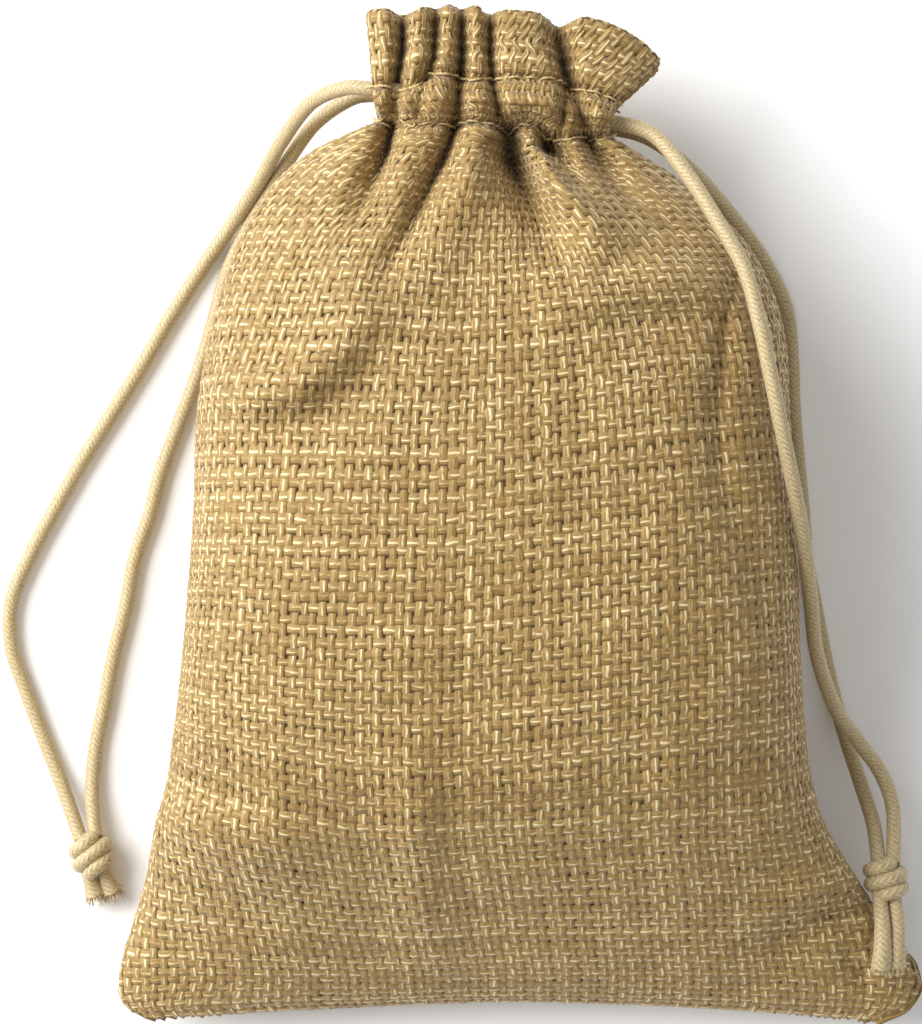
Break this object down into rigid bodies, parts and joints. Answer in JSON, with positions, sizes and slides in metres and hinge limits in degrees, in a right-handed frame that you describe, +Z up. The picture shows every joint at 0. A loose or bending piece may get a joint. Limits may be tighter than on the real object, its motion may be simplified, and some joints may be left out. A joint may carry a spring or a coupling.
{
  "type": "drawstring gift pouch",
  "caption": "Filled-out woven cloth pouch lying on its back, mouth gathered by a sewn casing with a braided drawstring out of each side, knotted at the ends.",
  "frame": {"origin": "under the middle of the pouch's own box, cords left out, on the surface it lies on", "axes": "+X across the pouch to its right side, +Y from the bottom seam to the mouth, +Z up, from the back panel to the front panel"},
  "size_m": [0.1516, 0.1654, 0.0521],
  "materials": {
    "burlap": "coarse plain weave, matt with a little sheen",
    "thread": "twisted sewing thread",
    "cord": "fine braided cord, soft sheen"
  },
  "bodies": {
    "pouch": {"front_panel": "burlap", "back_panel": "burlap", "front_hem": "burlap", "back_hem": "burlap", "front_lower_stitch": "thread", "front_upper_stitch": "thread", "back_lower_stitch": "thread", "back_upper_stitch": "thread", "left_side_seam": "burlap", "right_side_seam": "burlap", "bottom_seam": "burlap", "left_overlock": "thread", "right_overlock": "thread", "bottom_overlock": "thread", "left_cord_loop": "cord", "right_cord_loop": "cord"},
    "left_drawstring": {"left_outer_strand": "cord", "left_inner_strand": "cord", "left_knot": "cord", "left_outer_tail": "cord", "left_inner_tail": "cord"},
    "right_drawstring": {"right_front_strand": "cord", "right_back_strand": "cord", "right_knot": "cord", "right_front_tail": "cord", "right_back_tail": "cord"}
  },
  "joints": [
    {"name": "left_pull", "type": "slide", "parent": "pouch", "child": "left_drawstring", "axis": [-0.9976, 0.0698, 0], "range_m": [0, 0.01]},
    {"name": "right_pull", "type": "slide", "parent": "pouch", "child": "right_drawstring", "axis": [0.9976, -0.0698, 0], "range_m": [0, 0.01]}
  ]
}
